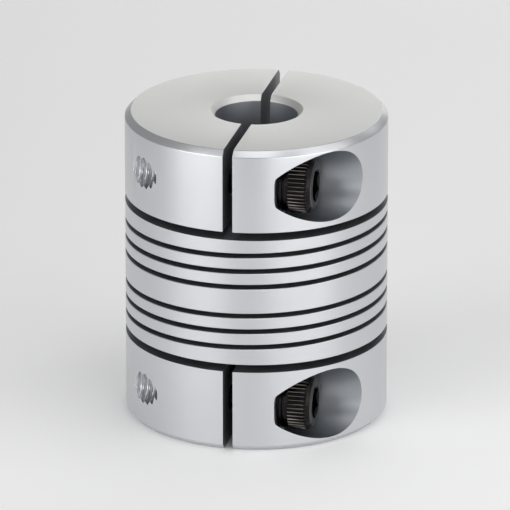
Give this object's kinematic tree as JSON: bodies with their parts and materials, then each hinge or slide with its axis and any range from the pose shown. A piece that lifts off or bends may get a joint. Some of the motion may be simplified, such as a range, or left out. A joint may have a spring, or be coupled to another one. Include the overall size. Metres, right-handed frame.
{
  "type": "beam coupling",
  "caption": "Clamping beam coupling that joins two shafts end to end: a slotted clamp hub at each end, and a middle cut by helical slots so that it flexes.",
  "frame": {"origin": "middle of the lower end face, on the shaft axis", "axes": "+Z along the shaft axis, +X along the clamp screws towards their heads, -Y from the bore to the clamp screws"},
  "size_m": [0.0318, 0.0318, 0.0381],
  "materials": {
    "turned_aluminium": "satin turned and milled, uncoated",
    "black_oxide_steel": "black oxide, knurled head"
  },
  "bodies": {
    "lower_hub": {"lower_hub_base": "turned_aluminium"},
    "lower_head_jaw": {"lower_head_jaw": "turned_aluminium"},
    "lower_tapped_jaw": {"lower_tapped_jaw": "turned_aluminium"},
    "lower_clamp_screw": {"lower_clamp_screw": "black_oxide_steel"},
    "lower_coil_1": {"lower_coil_1": "turned_aluminium"},
    "lower_coil_2": {"lower_coil_2": "turned_aluminium"},
    "upper_hub": {"upper_hub_base": "turned_aluminium"},
    "upper_head_jaw": {"upper_head_jaw": "turned_aluminium"},
    "upper_tapped_jaw": {"upper_tapped_jaw": "turned_aluminium"},
    "upper_clamp_screw": {"upper_clamp_screw": "black_oxide_steel"},
    "upper_coil_1": {"upper_coil_1": "turned_aluminium"},
    "upper_coil_2": {"upper_coil_2": "turned_aluminium"},
    "middle_band": {"middle_band": "turned_aluminium"}
  },
  "joints": [
    {"name": "lower_tilt_x", "type": "hinge", "parent": "lower_hub", "child": "lower_coil_1", "pos_m": [0, 0, 0.0133], "axis": [1, 0, 0], "range_deg": [-1.5, 1.5], "stiffness_Nm_per_rad": 0.25},
    {"name": "lower_tilt_y", "type": "hinge", "parent": "lower_coil_1", "child": "lower_coil_2", "pos_m": [0, 0, 0.0153], "axis": [0, 1, 0], "range_deg": [-1.5, 1.5], "stiffness_Nm_per_rad": 0.25},
    {"name": "lower_axial", "type": "slide", "parent": "lower_coil_2", "child": "middle_band", "axis": [0, 0, 1], "range_m": [-0.000125, 0.000125], "stiffness_N_per_m": 10000},
    {"name": "upper_axial", "type": "slide", "parent": "middle_band", "child": "upper_coil_1", "axis": [0, 0, 1], "range_m": [-0.000125, 0.000125], "stiffness_N_per_m": 10000},
    {"name": "upper_tilt_y", "type": "hinge", "parent": "upper_coil_1", "child": "upper_coil_2", "pos_m": [0, 0, 0.02298], "axis": [0, 1, 0], "range_deg": [-1.5, 1.5], "stiffness_Nm_per_rad": 0.25},
    {"name": "upper_tilt_x", "type": "hinge", "parent": "upper_coil_2", "child": "upper_hub", "pos_m": [0, 0, 0.02497], "axis": [1, 0, 0], "range_deg": [-1.5, 1.5], "stiffness_Nm_per_rad": 0.25},
    {"name": "lower_head_jaw_close", "type": "hinge", "parent": "lower_hub", "child": "lower_head_jaw", "pos_m": [0, 0.0115, 0.0052], "axis": [0, 0, 1], "range_deg": [-0.5, 0]},
    {"name": "lower_tapped_jaw_close", "type": "hinge", "parent": "lower_hub", "child": "lower_tapped_jaw", "pos_m": [0, 0.0115, 0.0052], "axis": [0, 0, 1], "range_deg": [0, 0.5]},
    {"name": "lower_screw_turn", "type": "hinge", "parent": "lower_head_jaw", "child": "lower_clamp_screw", "pos_m": [0, -0.0109, 0.0052], "axis": [-1, 0, 0], "range_deg": [0, 178]},
    {"name": "upper_head_jaw_close", "type": "hinge", "parent": "upper_hub", "child": "upper_head_jaw", "pos_m": [0, 0.0115, 0.0329], "axis": [0, 0, 1], "range_deg": [-0.5, 0]},
    {"name": "upper_tapped_jaw_close", "type": "hinge", "parent": "upper_hub", "child": "upper_tapped_jaw", "pos_m": [0, 0.0115, 0.0329], "axis": [0, 0, 1], "range_deg": [0, 0.5]},
    {"name": "upper_screw_turn", "type": "hinge", "parent": "upper_head_jaw", "child": "upper_clamp_screw", "pos_m": [0, -0.0109, 0.0329], "axis": [-1, 0, 0], "range_deg": [0, 178]}
  ],
  "couplings": [
    {"joint": "upper_axial", "follows": "lower_axial", "ratio": 1},
    {"joint": "lower_head_jaw_close", "follows": "lower_screw_turn", "ratio": -0.0028},
    {"joint": "lower_tapped_jaw_close", "follows": "lower_screw_turn", "ratio": 0.0028},
    {"joint": "upper_head_jaw_close", "follows": "upper_screw_turn", "ratio": -0.0028},
    {"joint": "upper_tapped_jaw_close", "follows": "upper_screw_turn", "ratio": 0.0028}
  ]
}
